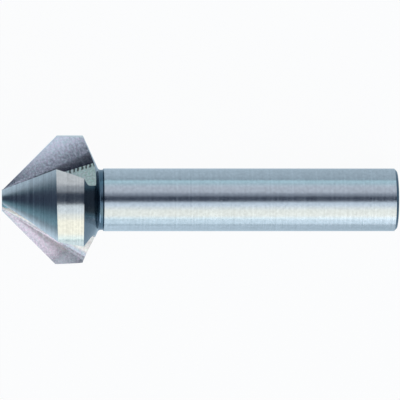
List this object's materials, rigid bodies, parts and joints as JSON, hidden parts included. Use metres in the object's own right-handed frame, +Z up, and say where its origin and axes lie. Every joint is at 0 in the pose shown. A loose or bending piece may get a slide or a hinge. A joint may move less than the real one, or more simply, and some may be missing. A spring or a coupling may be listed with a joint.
{
  "type": "countersink bit",
  "caption": "Ninety degree countersink bit with a relieved conical fluted head, a turned neck and a plain cylindrical shank, lying at rest.",
  "frame": {"origin": "on the surface the bit lies on, under the middle of its bounding box", "axes": "+Z up, +X along the bit from the cutting tip towards the end of the shank, which slopes down by 4.7 degrees, +Y across it"},
  "size_m": [0.0634, 0.0204, 0.0199],
  "materials": {
    "ground_steel": "bright ground high-speed steel, with fine grinding lines"
  },
  "bodies": {
    "root": {"countersink_bit": "ground_steel"}
  },
  "joints": []
}
